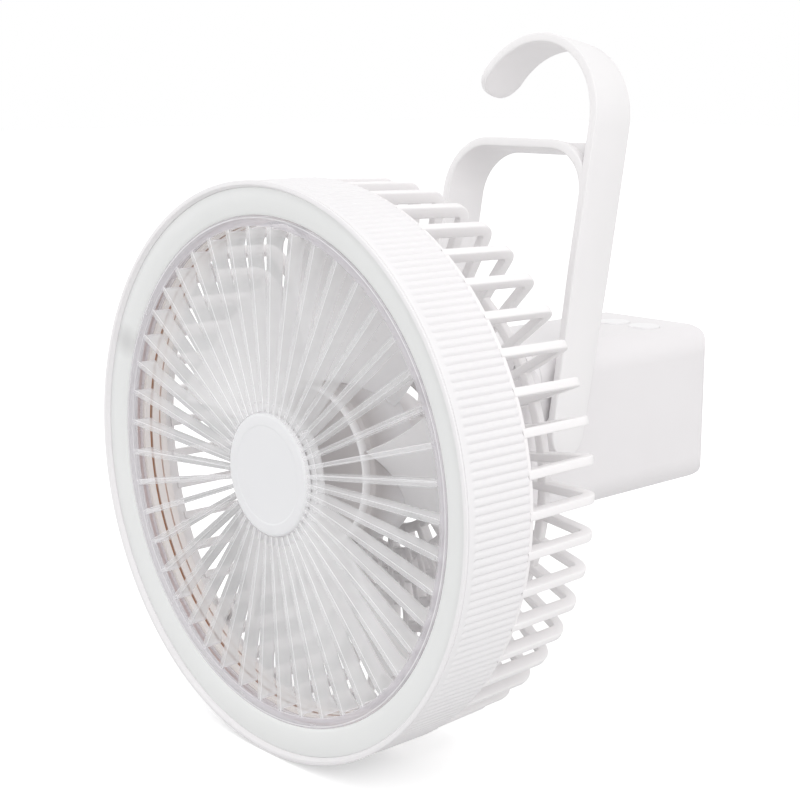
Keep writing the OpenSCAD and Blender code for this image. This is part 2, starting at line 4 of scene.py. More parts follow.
import bmesh
import bpy
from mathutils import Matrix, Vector


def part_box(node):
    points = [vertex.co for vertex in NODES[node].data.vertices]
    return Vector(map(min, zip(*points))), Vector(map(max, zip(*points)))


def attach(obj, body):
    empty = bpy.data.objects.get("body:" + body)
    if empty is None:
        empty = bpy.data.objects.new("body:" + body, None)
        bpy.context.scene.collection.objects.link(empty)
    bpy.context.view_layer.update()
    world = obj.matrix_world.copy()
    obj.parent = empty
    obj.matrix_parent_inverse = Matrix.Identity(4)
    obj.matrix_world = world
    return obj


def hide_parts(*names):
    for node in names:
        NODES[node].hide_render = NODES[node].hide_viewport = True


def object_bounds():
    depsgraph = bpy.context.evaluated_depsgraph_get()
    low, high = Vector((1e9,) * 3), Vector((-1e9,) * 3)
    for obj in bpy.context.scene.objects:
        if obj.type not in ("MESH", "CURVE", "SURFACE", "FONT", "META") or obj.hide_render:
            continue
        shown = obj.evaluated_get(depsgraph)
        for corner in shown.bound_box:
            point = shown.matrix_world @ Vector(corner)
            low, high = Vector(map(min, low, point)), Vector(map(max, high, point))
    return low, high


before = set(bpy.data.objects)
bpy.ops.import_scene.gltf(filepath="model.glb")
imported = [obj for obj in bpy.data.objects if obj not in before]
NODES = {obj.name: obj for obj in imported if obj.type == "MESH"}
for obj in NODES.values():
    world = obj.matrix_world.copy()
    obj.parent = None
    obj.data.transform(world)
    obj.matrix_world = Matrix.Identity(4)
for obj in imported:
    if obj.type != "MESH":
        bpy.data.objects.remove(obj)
CAD_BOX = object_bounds()

# ---- Driving places, from the frame. Lengths are millimetres up to the last step of a mesh -------
MM = 0.001


def high(node, axis):
    """Where a node of the CAD ends along an axis."""
    return round(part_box(node)[1][axis] / MM, 1)


FACE_Y = round(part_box("light_diffuser")[0].y / MM, 1)
RING_R = high("outer_ring", 0)
RING_DEPTH = high("outer_ring", 1) - FACE_Y
HEAD_DEPTH = high("rear_cage", 1) - FACE_Y
LIGHT_R = high("light_diffuser", 0)
CAP_R = high("hub_cap", 0)
BLADE_R = high("impeller", 0)
BAIL_HALF = high("bail_handle", 0)
PIVOT = sum(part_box("pivot_clips"), Vector()) / 2 / MM
CASE_HALF = high("battery_case", 0)

# ---- Camera: the photograph's viewpoint, found from the ring's and the case's perspective -------
CAMERA_AT = Vector((0.42014, -0.52185, 0.13313))
CAMERA_AZ = math.radians(47.89)
CAMERA_EL = math.radians(11.51)
CAMERA_LENS = 71.33
SENSOR = 36.0

# ---- Colours, linear ------------------------------------------------------------------------------
WHITE = (0.82, 0.805, 0.815)
CASE_WHITE = (0.80, 0.78, 0.79)
BUTTON_WHITE = (0.84, 0.83, 0.84)
BAIL_WHITE = (0.83, 0.815, 0.82)
CAGE_WHITE = (0.88, 0.86, 0.865)
CAP_WHITE = (0.785, 0.785, 0.80)
MILKY = (0.775, 0.782, 0.778)
# Painted shade on the milky ring over the gap between the light strip's ends
MILKY_SEAM_SHADE = (0.62, 0.62, 0.62)
DUCT = (0.79, 0.75, 0.735)
# The amber colours: the light board's raw edge, and warm painted shade for two lines round the inner barrel
AMBER = (0.36, 0.16, 0.08)
PALE_AMBER_SHADE = (0.60, 0.42, 0.35)
BLADE = (0.80, 0.79, 0.80)
# The impeller hub's face and shoulder: its own darker grey, with painted shade
HUB_GREY_AND_SHADE = (0.50, 0.475, 0.475)
CLEAR = (0.83, 0.83, 0.84)
CLEAR_RIM = (0.60, 0.57, 0.61)
# Painted highlight along the clear grille's edges, and painted shade on its surfaces that look back
CLEAR_HIGHLIGHT = (0.86, 0.85, 0.875)
CLEAR_BACK_SHADE = (0.45, 0.44, 0.47)
MOTOR_GREY = (0.5, 0.48, 0.48)
BOARD_WHITE = (0.85, 0.85, 0.82)
BOARD_GREEN = (0.03, 0.16, 0.08)
CHIP_YELLOW = (0.88, 0.80, 0.45)
LENS_GREEN = (0.7, 0.85, 0.7)
SLEEVE_BLUE = (0.05, 0.17, 0.42)
DARK_NYLON = (0.06, 0.06, 0.06)
MAGNET_BLACK = (0.03, 0.03, 0.03)
STEEL = (0.62, 0.62, 0.63)
MOTOR_STEEL = (0.35, 0.33, 0.32)
COPPER = (0.65, 0.28, 0.12)


# ---- Mesh tools -----------------------------------------------------------------------------------
def arc(centre, radius, start, end, steps):
    """Points on an arc in a plane, angles in degrees."""
    turns = [math.radians(start + (end - start) * i / steps) for i in range(steps + 1)]
    return [(centre[0] + radius * math.cos(a), centre[1] + radius * math.sin(a)) for a in turns]


def rounded(corners, radius, steps=3):
    """A closed outline with round corners. A corner's third value is its own radius."""
    points = []
    for i, corner in enumerate(corners):
        here = Vector(corner[:2])
        before = Vector(corners[i - 1][:2]) - here
        after = Vector(corners[(i + 1) % len(corners)][:2]) - here
        half = before.angle(after) / 2
        wanted = corner[2] if len(corner) > 2 else radius
        cut = min(wanted / math.tan(half), before.length * 0.49, after.length * 0.49)
        if cut < 0.001:
            points.append(tuple(here))
            continue
        bend = cut * math.tan(half)
        centre = here + (before.normalized() + after.normalized()).normalized() * (bend / math.sin(half))
        first = here + before.normalized() * cut - centre
        last = here + after.normalized() * cut - centre
        start = math.atan2(first.y, first.x)
        turn = (math.atan2(last.y, last.x) - start + math.pi) % (2 * math.pi) - math.pi
        points.extend(arc(centre, bend, math.degrees(start), math.degrees(start + turn), steps))
    return points


def head_point(deg, r, t, u=0.0):
    """A point on the fan head: r from the axis towards deg, t behind the light's face, u sideways."""
    a = math.radians(deg)
    return (r * math.cos(a) - u * math.sin(a), FACE_Y + t, r * math.sin(a) + u * math.cos(a))


def turned(outline, steps=192):
    """Rows of a closed (radius, depth) outline turned round the fan's axis."""
    return [[head_point(360 * i / steps, r, t) for r, t in outline] for i in range(steps)]


def spun(outline, steps, place):
    """Rows of a closed (radius, height) outline turned round an axis of its own, put where place says."""
    turns = [2 * math.pi * i / steps for i in range(steps)]
    return [[place(r * math.cos(a), r * math.sin(a), h) for r, h in outline] for a in turns]


def band(a, b, front, back):
    """A rectangle from radius a to b between two depths."""
    return [(a, front), (b, front), (b, back), (a, back)]


class Form:
    """Closed shells gathered into one mesh."""

    def __init__(self):
        self.verts = []
        self.faces = []

    def loft(self, rows, ring=False):
        """Skins closed rows of points. ring joins the last row to the first, otherwise both are capped."""
        base = len(self.verts)
        width = len(rows[0])
        for row in rows:
            self.verts.extend(row)
        for i in range(len(rows) if ring else len(rows) - 1):
            a = base + i * width
            b = base + (i + 1) % len(rows) * width
            for j in range(width):
                k = (j + 1) % width
                self.faces.append((a + j, a + k, b + k, b + j))
        if not ring:
            last = base + (len(rows) - 1) * width
            self.faces.append(tuple(range(base, base + width)))
            self.faces.append(tuple(range(last, last + width)))

    def turn(self, outline, steps=192):
        """Turns a closed outline round the fan's axis."""
        self.loft(turned(outline, steps), ring=True)

    def piece(self, name, body, slot, material, *nodes, sharp=38):
        """Makes the mesh a piece that rides on a body and stands for CAD nodes."""
        mesh = bpy.data.meshes.new(name)
        mesh.from_pydata([Vector(v) * MM for v in self.verts], [], self.faces)
        shape = bmesh.new()
        shape.from_mesh(mesh)
        bmesh.ops.remove_doubles(shape, verts=shape.verts, dist=0.002 * MM)
        bmesh.ops.recalc_face_normals(shape, faces=shape.faces)
        shape.to_mesh(mesh)
        shape.free()
        mesh.shade_smooth()
        mesh.set_sharp_from_angle(angle=math.radians(sharp))
        mesh.materials.append(material)
        made = bpy.data.objects.new(name, mesh)
        bpy.context.scene.collection.objects.link(made)
        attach(made, body)
        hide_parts(*nodes)
        return made


# ---- Material tools -------------------------------------------------------------------------------
def new_material(name):
    """An empty node material and its Principled shader."""
    mat = bpy.data.materials.new(name)
    mat.use_nodes = True
    return mat, mat.node_tree, mat.node_tree.nodes["Principled BSDF"]


def add(tree, kind, **inputs):
    """A new node with its named input values set."""
    node = tree.nodes.new(kind)
    for key, value in inputs.items():
        node.inputs[key.replace("_", " ")].default_value = value
    return node


def coords(tree, output="Object"):
    """The object's own coordinates or normals."""
    return tree.nodes.new("ShaderNodeTexCoord").outputs[output]


def math_node(tree, operation, *values):
    """A maths node fed by sockets or plain numbers."""
    node = tree.nodes.new("ShaderNodeMath")
    node.operation = operation
    for socket, value in zip(node.inputs, values):
        if isinstance(value, (int, float)):
            socket.default_value = value
        else:
            tree.links.new(value, socket)
    return node.outputs[0]


def both(tree, a, b):
    """The product of two masks or numbers."""
    return math_node(tree, "MULTIPLY", a, b)


def either(tree, a, b):
    """The brighter of two masks."""
    return math_node(tree, "MAXIMUM", a, b)


def noise(tree, scale, detail=3.0, rough=0.5):
    """Noise that stays on the object."""
    node = add(tree, "ShaderNodeTexNoise", Scale=scale, Detail=detail, Roughness=rough)
    tree.links.new(coords(tree), node.inputs["Vector"])
    return node.outputs["Fac"]


def ramp(tree, fac, low, high_colour, start=0.3, end=0.7):
    """Maps a 0-1 value to two colours."""
    node = tree.nodes.new("ShaderNodeValToRGB")
    stops = node.color_ramp.elements
    stops[0].position, stops[0].color = start, (*low, 1)
    stops[1].position, stops[1].color = end, (*high_colour, 1)
    tree.links.new(fac, node.inputs["Fac"])
    return node.outputs["Color"]


def span(tree, fac, low, top, start=0.0, end=1.0):
    """Maps a value from start to end onto low to top, and holds it there."""
    node = add(tree, "ShaderNodeMapRange", From_Min=start, From_Max=end, To_Min=low, To_Max=top)
    tree.links.new(fac, node.inputs["Value"])
    return node.outputs["Result"]


def bump(tree, height, strength, distance):
    """A normal bent by a height map."""
    node = add(tree, "ShaderNodeBump", Strength=strength, Distance=distance)
    tree.links.new(height, node.inputs["Height"])
    return node.outputs["Normal"]


def tint(tree, base, colour, mask):
    """Lays a colour over another where the mask is 1."""
    node = tree.nodes.new("ShaderNodeMix")
    node.data_type = "RGBA"
    tree.links.new(mask, node.inputs["Factor"])
    tree.links.new(base, node.inputs[6])
    node.inputs[7].default_value = (*colour, 1)
    return node.outputs[2]


def radius_and_depth(tree):
    """Distance from the fan's axis and depth behind the light's face, in millimetres."""
    split = tree.nodes.new("ShaderNodeSeparateXYZ")
    tree.links.new(coords(tree), split.inputs[0])
    across = math_node(tree, "MULTIPLY", split.outputs["X"], split.outputs["X"])
    up = math_node(tree, "MULTIPLY", split.outputs["Z"], split.outputs["Z"])
    radius = math_node(tree, "SQRT", math_node(tree, "ADD", across, up))
    depth = math_node(tree, "SUBTRACT", math_node(tree, "DIVIDE", split.outputs["Y"], MM), FACE_Y)
    return math_node(tree, "DIVIDE", radius, MM), depth


def between(tree, value, low, top, soft):
    """1 where a value lies between two limits, with soft edges."""
    rise = span(tree, value, 0.0, 1.0, low - soft, low + soft)
    fall = span(tree, value, 1.0, 0.0, top - soft, top + soft)
    return both(tree, rise, fall)


def plastic(name, colour, rough=0.4, shade=0.97, marks=()):
    """Moulded plastic: slow tone drift, spark-eroded grain and uneven gloss. marks are (mask, colour)."""
    mat, tree, shader = new_material(name)
    dark = tuple(c * shade for c in colour)
    base = ramp(tree, noise(tree, 22.0), dark, colour)
    for make_mask, mark in marks:
        base = tint(tree, base, mark, make_mask(tree))
    tree.links.new(base, shader.inputs["Base Color"])
    tree.links.new(span(tree, noise(tree, 90.0), rough - 0.06, rough + 0.08), shader.inputs["Roughness"])
    tree.links.new(bump(tree, noise(tree, 2400.0, 2.0), 0.3, 0.04 * MM), shader.inputs["Normal"])
    shader.inputs["IOR"].default_value = 1.5
    return mat


def metal(name, colour, rough):
    """Bare metal with fine brushing and uneven gloss."""
    mat, tree, shader = new_material(name)
    shader.inputs["Metallic"].default_value = 1.0
    dark = tuple(c * 0.85 for c in colour)
    tree.links.new(ramp(tree, noise(tree, 400.0), dark, colour), shader.inputs["Base Color"])
    tree.links.new(span(tree, noise(tree, 900.0), rough - 0.06, rough + 0.1), shader.inputs["Roughness"])
    return mat


def assign(material, *names):
    """Gives carried-over CAD nodes a material."""
    for name in names:
        NODES[name].data.materials.clear()
        NODES[name].data.materials.append(material)


# ---- Grip ring and light ring ---------------------------------------------------------------------
GROOVES = 230
GROOVE_STEPS = 8
GROOVE_DEPTH = 0.6
GROOVE_SHARE = 0.17
# Depths between which a groove runs in to its full depth
GROOVE_START = (1.3, 1.7, 2.2, 3.0)
LIP_FRONT = -1.65
LIP_WIDTH = 1.5
RING_BORE = RING_R - 2.3
RING_STEP_T = 9.8
RING_WALL = 3.1
# The fine parting line between the ring's lip and its grip
PART_WIDTH = 0.44
PART_T = -0.85
LIGHT_IN = 88.4
LIGHT_OUT = LIGHT_R + 0.35
LIGHT_CROWN = 0.5
LIGHT_BACK = 6.2


def ring_outline():
    """Closed outline of the grip ring, with extra points where the grooves begin and end."""
    skin = RING_R - 0.1
    inner = RING_R - RING_WALL
    part = PART_WIDTH / 2
    lip = [(RING_BORE, RING_STEP_T, 0), (RING_BORE, -0.2, 0.2), (RING_R - LIP_WIDTH, LIP_FRONT, 0.3),
           (RING_R, LIP_FRONT, 0.3)]
    line = [(RING_R, PART_T - part, 0.05), (RING_R - PART_WIDTH, PART_T, 0), (RING_R, PART_T + part, 0.05)]
    grip = [(skin, t, 0) for t in GROOVE_START] + [(skin, RING_DEPTH - 1, 0), (skin, RING_DEPTH, 0.4)]
    return rounded(lip + line + grip + [(inner, RING_DEPTH, 0.2), (inner, RING_STEP_T, 0)], 0.3)


def groove_share(r, t):
    """How much of its depth a groove has at a point of the outline, from 0 to 1."""
    if r < RING_R - 0.7:
        return 0.0
    run_in = (t - GROOVE_START[0]) / (GROOVE_START[-1] - GROOVE_START[0])
    run_out = (RING_DEPTH + 0.2 - t) / 0.3
    return max(0.0, min(1.0, run_in, run_out))


def build_ring(material):
    """The grip ring with its soft grooves."""
    form = Form()
    outline = ring_outline()
    count = GROOVES * GROOVE_STEPS
    rows = []
    for i in range(count):
        away = abs((i / GROOVE_STEPS + 0.5) % 1 - 0.5)
        cut = GROOVE_DEPTH * math.exp(-(away / GROOVE_SHARE) ** 2)
        rows.append([head_point(-360 * i / count, r - cut * groove_share(r, t), t) for r, t in outline])
    form.loft(rows, ring=True)
    form.piece("grip_ring", "head", "white_plastic", material, "outer_ring")


def build_light(material):
    """The milky ring: crowned face that slopes in to a rolled inner edge."""
    slope = 1.2
    roll = 0.4
    steps = 14
    face = []
    for i in range(steps + 1):
        s = i / steps
        r = LIGHT_IN + roll + (LIGHT_OUT - 0.15 - LIGHT_IN - roll) * s
        face.append((r, slope * (1 - s) + 0.1 - LIGHT_CROWN * 4 * s * (1 - s)))
    shelf = LIGHT_IN + 2
    back = [(LIGHT_OUT, 0.3), (LIGHT_OUT, 1.8), (shelf, 3), (shelf, LIGHT_BACK), (LIGHT_IN, LIGHT_BACK),
            (LIGHT_IN, 1.7)]
    form = Form()
    form.turn(face + back, 240)
    form.piece("light_ring", "head", "milky_plastic", material, "light_diffuser")


# ---- Clear front grille and its cap ---------------------------------------------------------------
BARS = 45
BAR_START = 0.6
BAR_T = 2.1
BAR_EDGE = 0.28
BAR_END_R = 84.0
RIM_R = 88.3
RIM_IN = 84.6
RIM_CREST_R = 86.2
# Radius of a ring of painted highlight on the rim's face
RIM_HIGHLIGHT_R = 87.55
RIM_WALL = 1.6
RIM_FRONT = 1.4
RIM_BACK = 7.7
RIM_WEB = 3.0
CLEAR_HUB_R = 24.3
CLEAR_HUB_FRONT = 3.0
CLEAR_HUB_BACK = 6.6
DISH_FRONT = 4.8
DISH_BACK = 6.2
CAP_BACK = 2.8
PEG_R = 4.0
# How much the clear plastic hides of what lies behind it, from where it is thin to where it is thick
CLEAR_HIDES = (0.34, 0.42)


def clear_masks(tree):
    """Masks of the grille: bars, their faces, surfaces that look back, the rim, and edges that get a painted
    highlight.
    """
    split = tree.nodes.new("ShaderNodeSeparateXYZ")
    tree.links.new(coords(tree, "Normal"), split.inputs[0])
    facing = split.outputs["Y"]
    radius, depth = radius_and_depth(tree)
    flat = span(tree, facing, 1.0, 0.0, -0.99, -0.93)
    back = span(tree, facing, 0.0, 1.0, 0.35, 0.9)
    bar = between(tree, radius, CLEAR_HUB_R + 0.7, BAR_END_R + 0.5, 0.5)
    rim = span(tree, radius, 0.0, 1.0, RIM_IN - 0.2, RIM_IN + 0.2)
    corner = both(tree, between(tree, facing, -0.93, -0.3, 0.1), span(tree, rim, 1.0, 0.35))
    rim_line = both(tree, between(tree, radius, RIM_HIGHLIGHT_R - 0.25, RIM_HIGHLIGHT_R + 0.25, 0.15), flat)
    behind_rim = span(tree, depth, 0.0, 1.0, RIM_WEB - 0.4, RIM_WEB + 0.2)
    bar_end = both(tree, between(tree, radius, BAR_END_R - 0.4, BAR_END_R + 0.2, 0.1), behind_rim)
    # The front corners, the ring on the rim's face and the bars' ends get a painted highlight
    bright = either(tree, either(tree, corner, rim_line), bar_end)
    return bar, both(tree, flat, bar), back, rim, bright


def clear_plastic(name):
    """Polished clear plastic to see through, with painted highlights along its edges, painted shade on
    surfaces that look back, and darker at the rim.
    """
    mat, tree, shader = new_material(name)
    bar, face, back, rim, bright = clear_masks(tree)
    base = ramp(tree, noise(tree, 60.0), tuple(c * 0.94 for c in CLEAR), CLEAR)
    # Painted shade where surfaces look back, painted highlights along the edges
    base = tint(tree, tint(tree, base, CLEAR_RIM, rim), CLEAR_BACK_SHADE, back)
    tree.links.new(tint(tree, base, CLEAR_HIGHLIGHT, bright), shader.inputs["Base Color"])
    alpha = span(tree, noise(tree, 70.0, 2.0), *CLEAR_HIDES, 0.3, 0.7)
    for mask, share in ((bar, 0.08), (bright, 0.26), (back, 0.1), (face, -0.24)):
        alpha = math_node(tree, "ADD", alpha, both(tree, mask, share))
    tree.links.new(alpha, shader.inputs["Alpha"])
    tree.links.new(span(tree, noise(tree, 200.0), 0.14, 0.24), shader.inputs["Roughness"])
    tree.links.new(bump(tree, noise(tree, 200.0), 0.3, 0.04 * MM), shader.inputs["Normal"])
    shader.inputs["IOR"].default_value = 1.49
    shader.inputs["Specular IOR Level"].default_value = 0.25
    return mat


def bar_stations():
    """A bar from the hub to the rim as (radius, front, back, thickness). It flares back at its end."""
    end_t = BAR_T - 0.4
    front = 1.6
    run = [(21.7, 1.0, 6.3, 1.4), (40, 1.25, 6.7, 1.75), (60, 1.4, 7.0, 2.0), (76.5, 1.5, 7.3, BAR_T)]
    flare = [(79, 1.5, 7.6, BAR_T), (81, 1.5, 8.5, BAR_T), (82.2, 1.5, 8.9, BAR_T),
             (BAR_END_R - 0.2, front, 9.0, BAR_T - 0.2), (BAR_END_R, front, 8.9, end_t)]
    tongue = [(BAR_END_R + 0.05, front, 2.8, end_t), (RIM_IN + 0.8, front, 2.8, end_t)]
    return run + flare + tongue


def bar_rows(deg):
    """Rounded sections of one bar, which narrows towards its back."""
    rows = []
    for r, front, back, thick in bar_stations():
        half = thick / 2
        section = [(-half, front), (half, front), (half * 0.8, back), (-half * 0.8, back)]
        rows.append([head_point(deg, r, t, u) for u, t in rounded(section, BAR_EDGE)])
    return rows


def build_grille(material):
    """Rim, hub dish and the bars between them."""
    wall = RIM_R - RIM_WALL
    rim = [(RIM_IN, RIM_FRONT + 0.2), (RIM_CREST_R, RIM_FRONT - 0.15, 1.5), (RIM_R, RIM_FRONT),
           (RIM_R, RIM_BACK), (wall, RIM_BACK), (wall, RIM_WEB), (RIM_IN, RIM_WEB)]
    socket = CLEAR_HUB_R - 2.5
    foot = socket + 0.7
    dish = [(0, DISH_FRONT, 0), (socket, DISH_FRONT), (socket, CLEAR_HUB_FRONT),
            (CLEAR_HUB_R, CLEAR_HUB_FRONT), (CLEAR_HUB_R, CLEAR_HUB_BACK), (foot, CLEAR_HUB_BACK),
            (foot, DISH_BACK), (0, DISH_BACK, 0)]
    form = Form()
    form.turn(rounded(rim, 0.4), 240)
    form.turn(rounded(dish, 0.35), 144)
    for i in range(BARS):
        form.loft(bar_rows(BAR_START - 360 * i / BARS))
    grille = form.piece("clear_grille", "head", "clear_plastic", material, "front_grille")
    # Clear bars pass the light on, so they neither shade nor tint what lies behind them
    grille.visible_shadow = False
    grille.visible_diffuse = False


def build_cap(material):
    """The round cap: a faint step inside its edge, and a peg that holds it in the hub."""
    step = CAP_R - 4.6
    peg_end = DISH_FRONT - 0.3
    face = [(0, 0.62, 0), (step, 0.7, 0.3), (step + 0.5, 0.55, 0.3), (CAP_R, 0.6, 1.1)]
    back = [(CAP_R, CAP_BACK, 0.2), (PEG_R, CAP_BACK, 0.1), (PEG_R, peg_end, 0.3), (0, peg_end, 0)]
    form = Form()
    form.turn(rounded(face + back, 0.4, 5), 160)
    form.piece("centre_cap", "head", "white_plastic", material, "hub_cap")


# ---- Rear cage ------------------------------------------------------------------------------------
FINS = 48
FIN_START = 0.5
FIN_T = 3.0
FIN_W = 4.3
FIN_EDGE = 0.55
FIN_BEND = 6.5
FIN_NOTCH = 1.6
FIN_FRONT_R = RING_R - 0.6
FIN_BACK_R = RING_R - 1.5
# Where a fin has drawn in by half
FIN_MIDDLE_T = 41.0
FIN_MIDDLE_R = (FIN_FRONT_R + FIN_BACK_R) / 2
# A fin's depth where it runs in across the hoops
FIN_DEPTH = 4.2
FINS_PER_ARM = 6
HOOPS = 6
HOOP_R = 75.2
HOOP_PITCH = 9.2
HOOP_W = 3.7
HOOP_DEPTH = 3.0
CAGE_HUB_R = 22.5
CAGE_HUB_T = 50.0
CAGE_HUB_WALL = 4.0
FLANGE_T = RING_DEPTH + 0.05
FLANGE_DEPTH = 2.0
# The skirt that reaches from the flange into the grip ring
SKIRT_R = 96.6
SKIRT_FRONT = 20.3
LUGS = 4
LUG_START = -41.25
LUG_R = 92.4
LUG_HALF = 4.2
LUG_HOLE = 1.5
LUG_DEPTH = 1.8


def fin_stations(r_in):
    """Outer and inner edge of a fin along its run, as (radius, depth) pairs."""
    run_in = HEAD_DEPTH - FIN_DEPTH
    foot = FLANGE_T + 0.3
    pairs = [((FIN_FRONT_R, foot), (FIN_FRONT_R - FIN_W, foot)),
             ((FIN_MIDDLE_R, FIN_MIDDLE_T), (FIN_MIDDLE_R - FIN_W, FIN_MIDDLE_T))]
    outer = arc((FIN_BACK_R - FIN_BEND, HEAD_DEPTH - FIN_BEND), FIN_BEND, 0, 90, 10)
    inner = arc((FIN_BACK_R - FIN_W - FIN_NOTCH, run_in - FIN_NOTCH), FIN_NOTCH, 0, 90, 10)
    pairs.extend(zip(outer, inner))
    pairs.append(((r_in, HEAD_DEPTH), (r_in, run_in)))
    return pairs


def fin_rows(deg, r_in):
    """Rounded sections of one L-shaped fin."""
    half = FIN_T / 2
    rows = []
    for outer, inner in fin_stations(r_in):
        width = math.dist(outer, inner)
        out = ((outer[0] - inner[0]) / width, (outer[1] - inner[1]) / width)
        section = rounded([(0, -half), (width, -half), (width, half), (0, half)], FIN_EDGE)
        rows.append([head_point(deg, inner[0] + out[0] * s, inner[1] + out[1] * s, u) for s, u in section])
    return rows


def add_fins(form):
    """The fins. Every second one stops a hoop early, and some go on to the hub as arms."""
    innermost = HOOP_R - (HOOPS - 1) * HOOP_PITCH
    for i in range(FINS):
        r_in = innermost + HOOP_PITCH if i % 2 else innermost
        if i % FINS_PER_ARM == 0:
            r_in = CAGE_HUB_R - 1
        form.loft(fin_rows(FIN_START - 360 * i / FINS, r_in))


def add_hoops(form):
    """The hoops that cross the fins at the back."""
    front = HEAD_DEPTH - FIN_DEPTH + 0.2
    for i in range(HOOPS):
        middle = HOOP_R - i * HOOP_PITCH
        hoop = band(middle - HOOP_W / 2, middle + HOOP_W / 2, front, front + HOOP_DEPTH)
        form.turn(rounded(hoop, 0.7))


def add_lugs(form):
    """The bosses that the cage's screws go through."""
    lug = rounded(band(LUG_HOLE, LUG_HALF, FLANGE_T, FLANGE_T + LUG_DEPTH), 0.3)
    for i in range(LUGS):
        deg = LUG_START - 360 * i / LUGS
        form.loft(spun(lug, 40, lambda x, y, t: head_point(deg, LUG_R + x, t, y)), ring=True)


def build_cage(material):
    """The rear cage as one moulding: fins, hoops, hub, flange and screw bosses."""
    rim_t = HEAD_DEPTH - 0.4
    floor_t = CAGE_HUB_T + CAGE_HUB_WALL
    wall = CAGE_HUB_R - 2
    hub = [(0, CAGE_HUB_T, 0), (CAGE_HUB_R, CAGE_HUB_T), (CAGE_HUB_R, rim_t), (wall, rim_t), (wall, floor_t),
           (0, floor_t, 0)]
    edge = FIN_FRONT_R - 0.4
    back = FLANGE_T + FLANGE_DEPTH
    flange = [(SKIRT_R, SKIRT_FRONT), (SKIRT_R, FLANGE_T), (edge, FLANGE_T), (edge, back),
              (SKIRT_R - 0.7, back), (SKIRT_R - 1, SKIRT_FRONT)]
    form = Form()
    add_fins(form)
    add_hoops(form)
    form.turn(rounded(hub, 0.5), 120)
    form.turn(rounded(flange, 0.3))
    add_lugs(form)
    form.piece("fan_cage", "head", "white_plastic", material, "rear_cage", "cage_side")


# ---- Impeller -------------------------------------------------------------------------------------
BLADES = 5
BLADE_START = 3.0
ROOT_CHORD = 30.0
TIP_CHORD = 62.0
ROOT_PITCH = 40.0
TIP_PITCH = 22.0
BLADE_SWEEP = 10.0
BLADE_CAMBER = 0.07
BLADE_EDGE = 0.35
BLADE_SWELL = 0.55
# Share of a blade's length at which its corners begin to round off, and how much of the chord they lose
CORNER_START = 0.86
CORNER_LOSS = 0.3
HUB_R = 30.0
HUB_FRONT = 20.0
HUB_DEPTH = 24.0
HUB_RIM_R = 28.4


def blade_point(r, s, side):
    """A point on a blade: radius r, place s along the chord from -0.5 to 0.5, face side -1 or 1."""
    mix = max(0.0, (r - HUB_R) / (BLADE_R - HUB_R))
    corner = max(0.0, (mix - CORNER_START) / (1 - CORNER_START))
    chord = ROOT_CHORD + (TIP_CHORD - ROOT_CHORD) * mix ** 0.8
    chord *= 1 - CORNER_LOSS * corner ** 2
    pitch = math.radians(ROOT_PITCH + (TIP_PITCH - ROOT_PITCH) * mix)
    crown = 1 - 4 * s * s
    lift = BLADE_CAMBER * chord * crown + side * (BLADE_EDGE + BLADE_SWELL * crown)
    along = s * chord * math.cos(pitch) - lift * math.sin(pitch)
    down = s * chord * math.sin(pitch) + lift * math.cos(pitch)
    turn = math.degrees(along / r) - BLADE_SWEEP * mix ** 1.5
    return turn, HUB_FRONT + HUB_DEPTH / 2 - 1 + down


def blade_rows(start):
    """Closed sections of one blade from inside the hub to its tip."""
    cuts = 14
    steps = 22
    root_r = HUB_R - 1
    tip_r = BLADE_R - 0.2
    loop = [(j / cuts - 0.5, 1) for j in range(cuts + 1)] + [(0.5 - j / cuts, -1) for j in range(cuts + 1)]
    rows = []
    for i in range(steps + 1):
        r = root_r + (tip_r - root_r) * i / steps
        points = [blade_point(r, s, side) for s, side in loop]
        rows.append([head_point(-start - turn, r, t) for turn, t in points])
    return rows


def build_impeller(material):
    """Cup-shaped hub with a raised rim round its face, and the blades."""
    rim = HUB_RIM_R
    plate = HUB_FRONT + 1
    back = HUB_FRONT + HUB_DEPTH
    inner = HUB_R - 2
    face = [(0, plate, 0), (rim - 1, plate, 0.4), (rim - 0.8, HUB_FRONT, 0.2), (rim, HUB_FRONT, 0.3)]
    shoulder = [(rim + 0.3, HUB_FRONT + 3, 0.8), (HUB_R, HUB_FRONT + 4, 0.8)]
    inside = [(HUB_R, back, 0.3), (inner, back, 0.3), (inner, plate + 1, 0.8), (0, plate + 1, 0)]
    form = Form()
    form.turn(rounded(face + shoulder + inside, 0.5, 4), 144)
    for i in range(BLADES):
        form.loft(blade_rows(BLADE_START + 360 * i / BLADES))
    form.piece("fan_blades", "rotor", "blade_plastic", material, "impeller")


# ---- Push buttons ---------------------------------------------------------------------------------
BUTTON_CROWN = 0.5
BUTTON_FLANGE = 0.6
BUTTON_FOOT = 1.0


def build_button(name, node, body, material):
    """A round button with a crowned top and a hidden flange that keeps it in the case."""
    low, top = (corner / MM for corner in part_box(node))
    middle = (low + top) / 2
    wide = (top.x - low.x) / 2
    reach = wide - BUTTON_FLANGE
    drop = BUTTON_CROWN - 0.1
    crown = [(reach * s, top.z - drop * s * s) for s in (0.0, 0.2, 0.4, 0.6, 0.8, 0.9, 0.96)]
    side = [(reach, top.z - BUTTON_CROWN - 0.15), (reach, low.z + BUTTON_FOOT), (wide, low.z + BUTTON_FOOT),
            (wide, low.z), (0, low.z)]
    form = Form()
    form.loft(spun(crown + side, 96, lambda x, y, z: (middle.x + x, middle.y + y, z)), ring=True)
    form.piece(name, body, "white_plastic", material, node, sharp=50)


